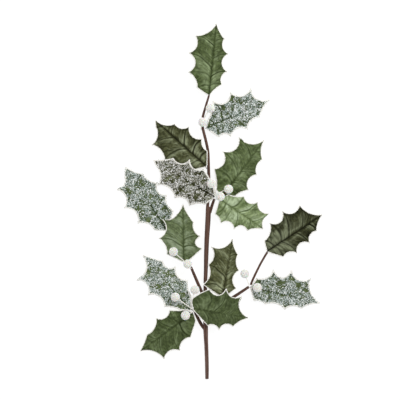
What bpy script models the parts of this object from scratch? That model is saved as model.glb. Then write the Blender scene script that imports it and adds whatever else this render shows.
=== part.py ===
"""Frosted holly spray, lying face up: pressed fabric leaves, beaded berries and paper-wrapped wire stems.

The long way runs along +Y with the cut end at -Y, +Z points away from the table, and the table is z = 0.
Every size and place below is in millimetres; MM turns them into Blender's metres.
"""
import math
from collections import namedtuple

import bmesh
import bpy
from mathutils import Vector

MM = 0.001

# ---- driving dimensions -------------------------------------------------------------------------------
LEAF_THICKNESS = 0.8        # stiffened fabric with its backing
LEAF_BASE_HALF_WIDTH = 1.2  # the neck where a leaf meets its wire
LEAF_TIP_HALF_WIDTH = 0.4   # the blunt end of the terminal spine
LEAF_ROWS = 16              # stations along the midrib
LEAF_CELLS = 3              # cells from the midrib to one margin
SCOOP_POWER = 0.8           # below 1 makes the scoops round and the spines needle-like
VEIN_LEAD = 0.5             # how far a side vein runs forward for each millimetre that it runs out

LEAF_WIRE_RADIUS = 0.5
LEAF_WIRE_START = 0.03      # share of the leaf's length where its wire comes in under it
LEAF_WIRE_REACH = 0.5       # and where it ends
LEAF_WIRE_STEPS = 4
LEAF_WIRE_GAP = 0.6         # clearance under the fabric, which curves away from the straight wire
BERRY_RADIUS = 6.0
BERRY_SEGMENTS = 12
BERRY_RINGS = 8
STALK_RADIUS = 0.55
STALK_STEPS = 5             # straight lengths that a bent stalk is made of
GAP = 0.35                  # clearance between pieces that touch

STEM_WALL = 1.0             # paper tape around the wire core

COLLECTION = "holly_spray"

# ---- leaves -------------------------------------------------------------------------------------------
# base and heading place a leaf in plan; heading is in degrees from +X, counter-clockwise.
# left and right hold the spines from base to tip as (along, out, scoop): how far along the midrib,
# how far out from it, and how deep the margin scoops in before that spine, as a share of the gap.
# heights are the leaf's height at the base and at the tip, the rise of its middle,
# and the slope across it, positive where the left side is the higher one.
Leaf = namedtuple("Leaf", "name base heading left right heights finish")

LEAVES = [
    Leaf("leaf_01_top", (-13.8, 137.0), 84.0,
         [(8, 16, 0), (26, 29, .16), (51, 31, .34), (74, 25, .27), (92, 0, .15)],
         [(15, 15, .08), (32, 20, .25), (55, 19, .33), (74, 12, .24), (92, 0, .07)],
         (12.0, 0.4, 2.0, 0.02), "leaf_green"),
    Leaf("leaf_02_upper_right", (-17.0, 94.3), 24.4,
         [(7, 9, 0), (22, 28, .08), (47, 29, .37), (73, 23, .28), (89, 0, .29)],
         [(10, 17, 0), (24, 23, .28), (47, 23, .29), (68, 15, .20), (89, 0, .08)],
         (12.5, 0.4, 3.0, 0.0), "leaf_glitter"),
    Leaf("leaf_03_upper_left", (-17.6, 45.6), 137.9,
         [(15, 23, 0), (45, 29, 0), (70, 26, .17), (81, 6, .20), (87, 0, 0)],
         [(12, 15, 0), (27, 22, .20), (50, 23, .29), (66, 13, .24), (87, 0, .16)],
         (16.6, 0.4, 3.0, -0.08), "leaf_olive"),
    Leaf("leaf_04_mid_left", (-6.6, 5.7), 148.8,
         [(6, 14, 0), (22, 26, .10), (43, 27, .25), (70, 24, .21), (84, 5, .19), (91, 0, 0)],
         [(10, 13, 0), (31, 23, 0), (52, 24, .30), (71, 15, .29), (91, 0, .05)],
         (18.0, 5.5, 5.5, -0.10), "leaf_glitter"),
    Leaf("leaf_05_far_left", (-68.4, -36.2), 123.1,
         [(8, 13, 0), (27, 26, .19), (53, 30, .28), (78, 25, .28), (86, 8, .25), (96, 0, 0)],
         [(16, 21, 0), (37, 24, .20), (57, 23, .32), (76, 14, .15), (96, 0, .07)],
         (4.0, 0.4, 1.5, 0.0), "leaf_glitter"),
    Leaf("leaf_06_left", (-46.1, -76.8), 90.9,
         [(10, 21, 0), (30, 31, .14), (54, 26, .29), (60, 8, .18), (72, 0, .08)],
         [(3, 8, 0), (16, 23, 0), (32, 21, .44), (50, 13, .19), (72, 0, .05)],
         (14.0, 8.0, 2.0, -0.05), "leaf_pale"),
    Leaf("leaf_07_right", (3.1, 6.4), 53.3,
         [(3, 11, 0), (22, 29, .06), (47, 34, .32), (74, 28, .32), (90, 0, .22)],
         [(11, 13, 0), (27, 22, .09), (49, 19, .30), (69, 13, .20), (90, 0, .12)],
         (13.0, 0.4, 2.0, 0.08), "leaf_green"),
    Leaf("leaf_08_right_low", (1.2, 2.5), -34.6,
         [(5, 11, 0), (22, 20, .10), (41, 24, .28), (61, 20, .25), (66, 0, .19)],
         [(5, 19, 0), (17, 24, .12), (36, 21, .30), (51, 13, .33), (66, 0, .10)],
         (17.0, 1.0, 2.0, 0.10), "leaf_pale"),
    Leaf("leaf_09_far_right", (61.5, -63.6), 33.3,
         [(4, 13, 0), (22, 28, .17), (44, 32, .37), (67, 26, .29), (84, 0, .15)],
         [(13, 17, 0), (30, 23, .23), (51, 21, .36), (67, 13, .27), (84, 0, .10)],
         (10.0, 0.4, 2.5, 0.0), "leaf_olive"),
    Leaf("leaf_10_right_bottom", (40.2, -110.0), -13.1,
         [(5, 13, 0), (23, 28, .23), (46, 33, .43), (72, 27, .28), (91, 0, .18)],
         [(8, 16, 0), (23, 17, .15), (49, 18, .17), (69, 12, .19), (91, 0, .08)],
         (11.0, 0.4, 2.5, 0.0), "leaf_glitter"),
    Leaf("leaf_11_centre", (3.7, -122.5), 80.3,
         [(12, 27, 0), (38, 25, .21), (61, 25, .24), (75, 0, .23)],
         [(14, 15, 0), (37, 15, .28), (57, 10, .15), (75, 0, .09)],
         (15.0, 4.0, 4.0, 0.14), "leaf_olive"),
    Leaf("leaf_12_bottom_centre", (-33.6, -137.0), -10.1,
         [(-3, 12, -.12), (16, 27, -.05), (37, 32, .37), (58, 26, .31), (71, 0, .26)],
         [(22, 18, 0), (37, 21, .24), (54, 14, .29), (71, 0, .09)],
         (19.5, 9.0, 4.0, 0.07), "leaf_green"),
    Leaf("leaf_13_left_low", (-37.5, -139.0), 131.5,
         [(9, 10, 0), (25, 22, .08), (50, 28, .27), (74, 26, .29), (92, 0, .26)],
         [(13, 12, 0), (31, 22, .08), (54, 22, .26), (70, 14, .30), (92, 0, 0)],
         (15.0, 0.4, 2.0, 0.0), "leaf_glitter"),
    Leaf("leaf_14_bottom_left", (-34.6, -143.1), -143.6,
         [(3, 10, 0), (21, 23, 0), (42, 29, .23), (65, 26, .27), (83, 0, .17)],
         [(8, 10, 0), (22, 20, .03), (42, 22, .27), (64, 12, .18), (83, 0, .04)],
         (15.0, 0.4, 2.0, 0.0), "leaf_green"),
]

# ---- stems: points as (x, y, z, radius) ---------------------------------------------------------------
LOWER_STEM = [
    (-16.4, -228.5, 2.3, 2.2), (-16.5, -211, 3.2, 2.4), (-16.9, -193, 5.2, 2.6), (-17.7, -174, 7.8, 2.8),
    (-18.1, -155.5, 10.2, 3.0), (-18.4, -127, 12.5, 2.6), (-18.2, -105, 13.2, 2.4), (-17.5, -80, 13.5, 2.6),
    (-16.7, -52, 13.5, 3.0), (-15.5, -30, 13.5, 3.3), (-14.8, -13.6, 13.5, 3.4),
]
UPPER_STEM = [
    (-16.0, -13.0, 13.5, 1.9), (-15.3, -3, 13.5, 1.9), (-14.2, 14, 13.4, 1.9), (-13.9, 30, 13.2, 1.9),
    (-14.4, 45, 13.0, 1.9), (-15.1, 64, 12.6, 1.9), (-18.0, 79, 12.2, 1.85), (-21.7, 95, 11.8, 1.8),
    (-21.6, 108, 11.4, 1.7), (-18.3, 121, 10.8, 1.5), (-14.2, 134.5, 10.4, 1.3),
]
BRANCHES = {
    "branch_lower_left": [
        (-23.3, -158.6, 10.0, 2.0), (-27.2, -151.5, 10.6, 1.9), (-30.0, -145.7, 11.2, 1.75),
        (-32.0, -141.6, 11.8, 1.5)],
    "branch_left": [
        (-22.9, -116.5, 12.6, 1.9), (-27.4, -106.4, 12.7, 1.9), (-32.1, -95.4, 12.7, 1.85),
        (-36.5, -85.1, 12.5, 1.65), (-38.6, -81.0, 12.4, 1.35)],
    "branch_right": [
        (-13.9, -142.4, 11.8, 1.8), (0, -134.0, 11.2, 1.9), (21, -120.6, 10.2, 1.9), (37.6, -109.6, 9.6, 1.6)],
    "branch_upper": [
        (-11.9, -13.0, 13.5, 1.6), (-10.4, -7, 13.6, 1.8), (-8.6, -1.5, 13.9, 1.7), (-6.9, 3.4, 14.3, 1.4)],
}

# ---- leaf wires: where each one leaves its stem, as (x, y, z) points up to the leaf's neck ------------
LEAF_WIRE_ROUTES = {
    "leaf_01_top": [(-14.1, 135.4, 10.4)],
    "leaf_02_upper_right": [(-18.4, 93.6, 11.2)],
    "leaf_03_upper_left": [(-17.0, 42.0, 13.4)],
    "leaf_04_mid_left": [(-6.9, 4.6, 15.9)],
    "leaf_05_far_left": [(-40.4, -79.6, 10.2), (-48, -67, 7.5), (-60, -48, 3.6)],
    "leaf_06_left": [(-40.0, -79.9, 12.0)],
    "leaf_07_right": [(-5.2, 4.4, 13.6)],
    "leaf_08_right_low": [(-5.0, 3.4, 15.2)],
    "leaf_09_far_right": [(39.9, -107.2, 9.9), (41.0, -104.0, 9.9), (43.8, -97.6, 9.8),
                          (48.9, -87.1, 9.4), (54.7, -76.1, 9.1)],
    "leaf_10_right_bottom": [(38.9, -109.9, 9.3)],
    "leaf_11_centre": [(2.6, -130.2, 13.3)],
    "leaf_12_bottom_centre": [(-31.3, -140.4, 13.4)],
    "leaf_13_left_low": [(-33.2, -140.2, 12.7)],
    "leaf_14_bottom_left": [(-34.6, -142.2, 12.2)],
}
TWIG = "leaf_09_far_right"
TWIG_RADIUS = 1.4

# ---- berries: centre, then the stalk's root and a point that it bends over ----------------------------
Berry = namedtuple("Berry", "name centre root bend")

BERRIES = [
    Berry("berry_01", (-12.0, 119.4, 18.5), (-20.3, 104.0, 14.0), (-18.5, 110.5, 17.0)),
    Berry("berry_02", (-21.8, 101.5, 20.4), (-23.9, 92.0, 13.6), (-24.2, 94.5, 18.0)),
    Berry("berry_03", (-10.7, 22.8, 27.5), (-4.9, 7.4, 16.4), (-4.6, 13.5, 24.0)),
    Berry("berry_04", (11.2, 15.8, 21.5), (-4.4, 5.8, 16.4), (0.5, 12.6, 17.6)),
    Berry("berry_05", (0.5, 6.4, 26.6), (-5.6, 1.6, 16.9), (-6.2, 2.2, 23.5)),
    Berry("berry_06", (-59.2, -64.4, 21.0), (-41.6, -80.6, 13.2), (-47.5, -74.5, 18.6)),
    Berry("berry_07", (-40.9, -80.0, 21.0), (-36.9, -85.8, 15.1), (-36.4, -86.6, 17.6)),
    Berry("berry_08", (-31.7, -113.1, 20.0), (-34.4, -137.0, 13.6), (-36.0, -128.0, 18.6)),
    Berry("berry_09", (-56.8, -122.4, 21.4), (-34.0, -139.0, 15.6), (-41.0, -133.5, 19.8)),
    Berry("berry_10", (-43.8, -145.7, 22.4), (-33.6, -141.0, 14.6), (-34.6, -141.6, 19.8)),
    Berry("berry_11", (32.2, -92.6, 15.0), (37.8, -107.6, 11.6), (35.4, -101.0, 13.4)),
    Berry("berry_12", (48.2, -110.3, 19.2), (38.2, -110.6, 11.5), (39.2, -110.8, 16.0)),
]

Finish = namedtuple("Finish", "colour roughness metallic")
FINISHES = {
    "leaf_olive": Finish((0.065, 0.085, 0.030), 0.85, 0.0),
    "leaf_green": Finish((0.085, 0.140, 0.055), 0.85, 0.0),
    "leaf_pale": Finish((0.190, 0.290, 0.130), 0.85, 0.0),
    "leaf_glitter": Finish((0.400, 0.440, 0.410), 0.50, 0.0),
    "berry_beads": Finish((0.820, 0.800, 0.740), 0.45, 0.0),
    "stalk_covering": Finish((0.800, 0.780, 0.700), 0.60, 0.0),
    "stem_tape": Finish((0.110, 0.055, 0.042), 0.80, 0.0),
    "core_wire": Finish((0.350, 0.350, 0.360), 0.40, 1.0),
}


def clear_scene():
    """Remove the objects that the startup file holds."""
    for obj in list(bpy.data.objects):
        bpy.data.objects.remove(obj, do_unlink=True)


def make_materials():
    """One Principled material for each finish."""
    materials = {}
    for name, finish in FINISHES.items():
        material = bpy.data.materials.new(name)
        material.use_nodes = True
        shader = material.node_tree.nodes["Principled BSDF"]
        shader.inputs["Base Color"].default_value = (*finish.colour, 1.0)
        shader.inputs["Roughness"].default_value = finish.roughness
        shader.inputs["Metallic"].default_value = finish.metallic
        material.diffuse_color = (*finish.colour, 1.0)
        materials[name] = material
    return materials


def length_of(leaf):
    """A leaf's length, from its neck to the end of its terminal spine."""
    return float(leaf.left[-1][0])


def spine_stations(spines, length, rows):
    """Where each spine's vein leaves the midrib, as a share of its length, on a row of the grid."""
    stations = []
    for index, (along, out, _) in enumerate(spines):
        row = round(rows * (along - VEIN_LEAD * out) / length)
        lowest = (stations[-1] if stations else 0) + 2
        highest = rows - 2 * (len(spines) - 1 - index)
        stations.append(min(max(row, lowest), highest))
    return [row / rows for row in stations]


def margin(spines, stations, share):
    """The point of one margin that belongs to a station of the midrib, as (along, out)."""
    start_station = 0.0
    start = Vector((0.0, LEAF_BASE_HALF_WIDTH))
    for (along, out, scoop), station in zip(spines, stations):
        end = Vector((along, max(out, LEAF_TIP_HALF_WIDTH)))
        if share <= station + 1e-9:
            t = (share - start_station) / (station - start_station)
            chord = end - start
            inward = Vector((chord.y, -chord.x))
            depth = scoop * max(4.0 * t * (1.0 - t), 0.0) ** SCOOP_POWER
            return start + chord * t + inward * depth
        start_station = station
        start = end
    return start


def leaf_height(leaf, along, out):
    """Height of a leaf's middle surface above the table; out is positive on the left side."""
    base, tip, rise, slope = leaf.heights
    share = along / length_of(leaf)
    height = base + (tip - base) * share + rise * 4.0 * share * (1.0 - share) + slope * out
    return max(height, 0.5 * LEAF_THICKNESS)


def leaf_surface(leaf, share, across, rows):
    """A point of the leaf's middle surface, along the leaf, across it and up, in millimetres."""
    spines = leaf.left if across >= 0 else leaf.right
    edge = margin(spines, spine_stations(spines, length_of(leaf), rows), share)
    root = Vector((length_of(leaf) * share, 0.0))
    point = root.lerp(edge, abs(across))
    out = math.copysign(point.y, across)
    return Vector((point.x, out, leaf_height(leaf, point.x, out)))


def place_like(obj, leaf):
    """Turn and move a leaf's object to where the leaf grows."""
    obj.location = (leaf.base[0] * MM, leaf.base[1] * MM, 0.0)
    obj.rotation_euler = (0.0, 0.0, math.radians(leaf.heading))


def add_object(name, data, collection, material):
    """Put new geometry in the collection with its material."""
    obj = bpy.data.objects.new(name, data)
    data.materials.append(material)
    collection.objects.link(obj)
    return obj


def make_leaf(leaf, collection, materials):
    """A grid drawn out to the leaf's margins, with a Solidify for the fabric's thickness."""
    grid = bmesh.new()
    bmesh.ops.create_grid(grid, x_segments=LEAF_ROWS, y_segments=2 * LEAF_CELLS, size=0.5)
    for vertex in grid.verts:
        share = vertex.co.x + 0.5
        across = 2.0 * vertex.co.y
        vertex.co = leaf_surface(leaf, share, across, LEAF_ROWS) * MM
    mesh = bpy.data.meshes.new(leaf.name)
    grid.to_mesh(mesh)
    grid.free()
    mesh.shade_smooth()
    obj = add_object(leaf.name, mesh, collection, materials[leaf.finish])
    place_like(obj, leaf)
    shell = obj.modifiers.new("fabric", "SOLIDIFY")
    shell.thickness = LEAF_THICKNESS * MM
    shell.offset = 0.0
    return obj


def in_plan(leaf, along, out):
    """A leaf's own (along, out) as the table's (x, y)."""
    turn = math.radians(leaf.heading)
    x = leaf.base[0] + along * math.cos(turn) - out * math.sin(turn)
    y = leaf.base[1] + along * math.sin(turn) + out * math.cos(turn)
    return x, y


def make_tube(name, points, collection, material, capped=True):
    """A round tube through points of (x, y, z, radius)."""
    curve = bpy.data.curves.new(name, "CURVE")
    curve.dimensions = "3D"
    curve.bevel_depth = MM
    curve.bevel_resolution = 2
    curve.use_fill_caps = capped
    spline = curve.splines.new("POLY")
    spline.points.add(len(points) - 1)
    for target, (x, y, z, radius) in zip(spline.points, points):
        target.co = (x * MM, y * MM, z * MM, 1.0)
        target.radius = radius
    return add_object(name, curve, collection, material)


def make_lower_stem(collection, materials):
    """The thick stem: a sleeve of paper tape, open at both ends, around a bundle of wire."""
    sleeve = make_tube("main_stem_lower", LOWER_STEM, collection, materials["stem_tape"], capped=False)
    wall = sleeve.modifiers.new("tape", "SOLIDIFY")
    wall.thickness = STEM_WALL * MM
    wall.offset = -1.0
    core = [(x, y, z, radius - STEM_WALL - GAP) for x, y, z, radius in LOWER_STEM]
    make_tube("main_stem_core_wire", core, collection, materials["core_wire"])


def make_stems(collection, materials):
    """The main stem in its thick and thin lengths, and the side branches."""
    make_lower_stem(collection, materials)
    make_tube("main_stem_upper", UPPER_STEM, collection, materials["stem_tape"])
    for name, points in BRANCHES.items():
        make_tube(name, points, collection, materials["stem_tape"])


def make_leaf_wire(leaf, collection, materials):
    """The wire that joins a leaf to its stem and runs on under its midrib."""
    radius = TWIG_RADIUS if leaf.name == TWIG else LEAF_WIRE_RADIUS
    points = [(x, y, z, radius) for x, y, z in LEAF_WIRE_ROUTES[leaf.name]]
    drop = 0.5 * LEAF_THICKNESS + LEAF_WIRE_GAP + radius
    for step in range(LEAF_WIRE_STEPS + 1):
        share = LEAF_WIRE_START + (LEAF_WIRE_REACH - LEAF_WIRE_START) * step / LEAF_WIRE_STEPS
        along = length_of(leaf) * share
        x, y = in_plan(leaf, along, 0.0)
        height = leaf_height(leaf, along, 0.0) - drop
        points.append((x, y, max(height, radius), radius))
    make_tube(leaf.name.replace("leaf", "leaf_wire"), points, collection, materials["stem_tape"])


def make_berry(berry, collection, materials):
    """A round berry, and the thin stalk that holds it."""
    ball = bmesh.new()
    bmesh.ops.create_uvsphere(ball, u_segments=BERRY_SEGMENTS, v_segments=BERRY_RINGS, radius=BERRY_RADIUS * MM)
    mesh = bpy.data.meshes.new(berry.name)
    ball.to_mesh(mesh)
    ball.free()
    mesh.shade_smooth()
    obj = add_object(berry.name, mesh, collection, materials["berry_beads"])
    obj.location = Vector(berry.centre) * MM

    root, bend, centre = Vector(berry.root), Vector(berry.bend), Vector(berry.centre)
    end = centre + (bend - centre).normalized() * (BERRY_RADIUS + GAP)
    points = []
    for step in range(STALK_STEPS + 1):
        t = step / STALK_STEPS
        point = root * (1 - t) ** 2 + bend * 2 * t * (1 - t) + end * t ** 2
        points.append((*point, STALK_RADIUS))
    make_tube(berry.name.replace("berry", "berry_stalk"), points, collection, materials["stalk_covering"])


def main():
    clear_scene()
    collection = bpy.data.collections.new(COLLECTION)
    bpy.context.scene.collection.children.link(collection)
    materials = make_materials()
    make_stems(collection, materials)
    for leaf in LEAVES:
        make_leaf(leaf, collection, materials)
        make_leaf_wire(leaf, collection, materials)
    for berry in BERRIES:
        make_berry(berry, collection, materials)


main()
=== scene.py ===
"""Looks of the frosted holly spray: pressed velvet leaves, glitter, beaded berries and paper-wrapped wires.

The file is laid out as an add-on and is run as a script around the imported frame.
Tables hold millimetres, as the part's own tables do, and MM turns them into metres.
The leaf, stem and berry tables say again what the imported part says, and the pieces add what it leaves out.
"""

import math
from collections import namedtuple
from functools import partial

import bmesh
import bpy
from mathutils import Matrix, Vector, noise


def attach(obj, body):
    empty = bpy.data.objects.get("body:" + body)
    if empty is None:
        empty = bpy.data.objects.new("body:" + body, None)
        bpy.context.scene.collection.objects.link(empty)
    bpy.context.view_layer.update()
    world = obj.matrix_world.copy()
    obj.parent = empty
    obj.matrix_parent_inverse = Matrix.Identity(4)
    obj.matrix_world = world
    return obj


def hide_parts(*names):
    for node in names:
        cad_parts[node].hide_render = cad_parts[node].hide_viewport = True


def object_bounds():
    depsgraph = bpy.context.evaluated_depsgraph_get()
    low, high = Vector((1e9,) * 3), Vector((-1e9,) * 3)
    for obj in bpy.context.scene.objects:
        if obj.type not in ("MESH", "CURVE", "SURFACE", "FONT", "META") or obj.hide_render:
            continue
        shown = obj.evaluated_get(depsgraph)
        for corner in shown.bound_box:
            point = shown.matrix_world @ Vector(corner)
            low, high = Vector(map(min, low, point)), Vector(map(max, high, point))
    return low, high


bl_info = {
    "name": "Frosted Holly Spray",
    "version": (1, 0, 0),
    "blender": (4, 5, 0),
    "location": "3D Viewport > Sidebar > Holly",
    "description": "Dresses the packed holly spray in velvet, glitter, beads and tape",
    "category": "Add Mesh",
}

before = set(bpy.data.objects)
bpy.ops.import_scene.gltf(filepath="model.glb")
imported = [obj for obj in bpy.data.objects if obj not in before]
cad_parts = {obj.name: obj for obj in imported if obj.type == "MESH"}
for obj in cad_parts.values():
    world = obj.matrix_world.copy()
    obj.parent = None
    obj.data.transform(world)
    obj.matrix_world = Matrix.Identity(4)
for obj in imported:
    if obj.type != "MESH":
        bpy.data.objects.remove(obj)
CAD_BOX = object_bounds()

MM = 0.001
BODY = "root"

# ---- the leaves ----
LEAF_THICKNESS = 0.8        # fabric with its backing
LEAF_BASE_HALF_WIDTH = 1.2  # the neck where a leaf meets its wire
LEAF_TIP_HALF_WIDTH = 0.4   # the blunt end of the terminal spine
LEAF_ROWS = 16              # stations along the midrib where a side vein may leave it
SCOOP_POWER = 0.8           # below 1 makes the scoops round and the spines needle-like
VEIN_LEAD = 0.5             # how far a side vein runs forward for each millimetre that it runs out

# base and heading, in degrees, place the neck.
# left and right hold the spines from base to tip as (along, out, scoop).
# heights: at the base, at the tip, rise of the middle, and slope across, positive where the left is higher.
# slot is the record's finish, and dye names the pile's colours.
# press is how deep the hot mould pressed the veins, ruffle how far the edge waves,
# tone how light the dye took, and fade how much paler the pile is towards the neck.
# wire is its wire's way to the neck, and bare the spots where the glue missed and no glitter stuck, as
# (along, out, radius), with out positive on the left. All but the last six are as packed.
Leaf = namedtuple("Leaf", "name base heading left right heights slot dye press ruffle tone fade wire bare")

LEAVES = [
    Leaf("leaf_01_top", (-13.8, 137.0), 84.0,
         [(8, 16, 0), (26, 29, .16), (51, 31, .34), (74, 25, .27), (92, 0, .15)],
         [(15, 15, .08), (32, 20, .25), (55, 19, .33), (74, 12, .24), (92, 0, .07)],
         (12.0, 0.4, 2.0, 0.02), "leaf_green", "green", 0.85, 0.3, 0.97, 0.4, [(-14.1, 135.4, 10.4)], ()),
    Leaf("leaf_02_upper_right", (-17.0, 94.3), 24.4,
         [(7, 9, 0), (22, 28, .08), (47, 29, .37), (73, 23, .28), (89, 0, .29)],
         [(10, 17, 0), (24, 23, .28), (47, 23, .29), (68, 15, .20), (89, 0, .08)],
         (12.5, 0.4, 3.0, 0.0), "leaf_glitter", "bottle", 0.8, 0.3, 0.88, 0.0,
         [(-18.4, 93.6, 11.2)], [(4, 4, 4), (31, 16, 3.5), (46, 22, 4.5), (53, 13, 4), (44, -12, 4)]),
    Leaf("leaf_03_upper_left", (-17.6, 45.6), 137.9,
         [(15, 23, 0), (45, 29, 0), (70, 26, .17), (81, 6, .20), (87, 0, 0)],
         [(12, 15, 0), (27, 22, .20), (50, 23, .29), (66, 13, .24), (87, 0, .16)],
         (16.6, 0.4, 3.0, -0.08), "leaf_olive", "olive", 1.3, 0.35, 1.05, 0.35, [(-17.0, 42.0, 13.4)], ()),
    Leaf("leaf_04_mid_left", (-6.6, 5.7), 148.8,
         [(6, 14, 0), (22, 26, .10), (43, 27, .25), (70, 24, .21), (84, 5, .19), (91, 0, 0)],
         [(10, 13, 0), (31, 23, 0), (52, 24, .30), (71, 15, .29), (91, 0, .05)],
         (18.0, 5.5, 5.5, -0.10), "leaf_glitter", "olive", 0.8, 0.3, 1.05, 0.0,
         [(-6.9, 4.6, 15.9)], [(21, 13, 4), (42, 16, 5), (61, 10, 5), (47, -11, 3.5), (54, 1, 3)]),
    Leaf("leaf_05_far_left", (-68.4, -36.2), 123.1,
         [(8, 13, 0), (27, 26, .19), (53, 30, .28), (78, 25, .28), (86, 8, .25), (96, 0, 0)],
         [(16, 21, 0), (37, 24, .20), (57, 23, .32), (76, 14, .15), (96, 0, .07)],
         (4.0, 0.4, 1.5, 0.0), "leaf_glitter", "bottle", 0.8, 0.3, 1.0, 0.0,
         [(-40.4, -79.6, 10.2), (-48, -67, 7.5), (-60, -48, 3.6)],
         [(24, 13, 4), (42, 17, 4), (68, 14, 5), (67, -6, 4), (47, -7, 3.5), (26, -14, 3.5)]),
    Leaf("leaf_06_left", (-46.1, -76.8), 90.9,
         [(10, 21, 0), (30, 31, .14), (54, 26, .29), (60, 8, .18), (72, 0, .08)],
         [(3, 8, 0), (16, 23, 0), (32, 21, .44), (50, 13, .19), (72, 0, .05)],
         (14.0, 8.0, 2.0, -0.05), "leaf_pale", "sage", 1.0, 0.8, 0.59, 0.3, [(-40.0, -79.9, 12.0)], ()),
    Leaf("leaf_07_right", (3.1, 6.4), 53.3,
         [(3, 11, 0), (22, 29, .06), (47, 34, .32), (74, 28, .32), (90, 0, .22)],
         [(11, 13, 0), (27, 22, .09), (49, 19, .30), (69, 13, .20), (90, 0, .12)],
         (13.0, 0.4, 2.0, 0.08), "leaf_green", "green", 0.65, 0.4, 0.98, 0.2, [(-5.2, 4.4, 13.6)], ()),
    Leaf("leaf_08_right_low", (1.2, 2.5), -34.6,
         [(5, 11, 0), (22, 20, .10), (41, 24, .28), (61, 20, .25), (66, 0, .19)],
         [(5, 19, 0), (17, 24, .12), (36, 21, .30), (51, 13, .33), (66, 0, .10)],
         (17.0, 1.0, 2.0, 0.10), "leaf_pale", "sage", 0.9, 1.3, 1.0, 0.4, [(-5.0, 3.4, 15.2)], ()),
    Leaf("leaf_09_far_right", (61.5, -63.6), 33.3,
         [(4, 13, 0), (22, 28, .17), (44, 32, .37), (67, 26, .29), (84, 0, .15)],
         [(13, 17, 0), (30, 23, .23), (51, 21, .36), (67, 13, .27), (84, 0, .10)],
         (10.0, 0.4, 2.5, 0.0), "leaf_olive", "olive", 1.5, 0.5, 0.68, 1.0,
         [(39.9, -107.2, 9.9), (41.0, -104.0, 9.9), (43.8, -97.6, 9.8),
          (48.9, -87.1, 9.4), (54.7, -76.1, 9.1)], ()),
    Leaf("leaf_10_right_bottom", (40.2, -110.0), -13.1,
         [(5, 13, 0), (23, 28, .23), (46, 33, .43), (72, 27, .28), (91, 0, .18)],
         [(8, 16, 0), (23, 17, .15), (49, 18, .17), (69, 12, .19), (91, 0, .08)],
         (11.0, 0.4, 2.5, 0.0), "leaf_glitter", "bottle", 0.8, 0.3, 1.0, 0.0,
         [(38.9, -109.9, 9.3)], [(4, 9, 6), (34, 13, 5), (49, 22, 3), (60, 16, 4), (69, 12, 4)]),
    Leaf("leaf_11_centre", (3.7, -122.5), 80.3,
         [(12, 27, 0), (38, 25, .21), (61, 25, .24), (75, 0, .23)],
         [(14, 15, 0), (37, 15, .28), (57, 10, .15), (75, 0, .09)],
         (15.0, 4.0, 4.0, 0.14), "leaf_olive", "olive", 0.65, 0.3, 1.25, 0.1, [(2.6, -130.2, 13.3)], ()),
    Leaf("leaf_12_bottom_centre", (-33.6, -137.0), -10.1,
         [(-3, 12, -.12), (16, 27, -.05), (37, 32, .37), (58, 26, .31), (71, 0, .26)],
         [(22, 18, 0), (37, 21, .24), (54, 14, .29), (71, 0, .09)],
         (19.5, 9.0, 4.0, 0.07), "leaf_green", "green", 0.2, 0.0, 0.78, 0.05, [(-31.3, -140.4, 13.4)], ()),
    Leaf("leaf_13_left_low", (-37.5, -139.0), 131.5,
         [(9, 10, 0), (25, 22, .08), (50, 28, .27), (74, 26, .29), (92, 0, .26)],
         [(13, 12, 0), (31, 22, .08), (54, 22, .26), (70, 14, .30), (92, 0, 0)],
         (15.0, 0.4, 2.0, 0.0), "leaf_glitter", "bottle", 0.8, 0.3, 1.2, 0.0,
         [(-33.2, -140.2, 12.7)], [(73, 9, 5), (49, 11, 4), (54, -10, 4), (21, -5, 4)]),
    Leaf("leaf_14_bottom_left", (-34.6, -143.1), -143.6,
         [(3, 10, 0), (21, 23, 0), (42, 29, .23), (65, 26, .27), (83, 0, .17)],
         [(8, 10, 0), (22, 20, .03), (42, 22, .27), (64, 12, .18), (83, 0, .04)],
         (15.0, 0.4, 2.0, 0.0), "leaf_green", "green", 0.55, 0.45, 0.90, 0.0, [(-34.6, -142.2, 12.2)], ()),
]
GLITTER_SLOT = "leaf_glitter"

# each dye's pile, the dark of its veins and of the painted shade, and the colour of the painted highlight
DYES = {
    "olive": ("#4b4e33", "#17180a", "#8f9677"),
    "green": ("#57643f", "#2a3418", "#87966f"),
    "sage": ("#86966a", "#51603b", "#b0c09c"),
    "bottle": ("#58643f", "#35422a", "#7c886b"),
}
# the veins' dark is partly crushed pile and partly painted shade; the crest colour is a painted highlight
# beside the veins
PILE_PARTS = {"pile": "Upright pile", "groove": "Crushed pile along the veins",
              "crest": "Rubbed pile beside the veins"}

# where each grey of glitter starts, on a grain's random number from 0 to 1, and the greys over each dye:
# painted glints and dark reflections
GRAIN_SHARES = (0.0, 0.2, 0.42, 0.64, 0.82)
GLASSES = {
    "olive": ("warm", ("#55533c", "#8e8d7e", "#bdbcb3", "#f2f1ee", "#ffffff")),
    "bottle": ("cool", ("#6c7a71", "#9aa8a1", "#bfcac4", "#ebf0ed", "#ffffff")),
}

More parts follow.
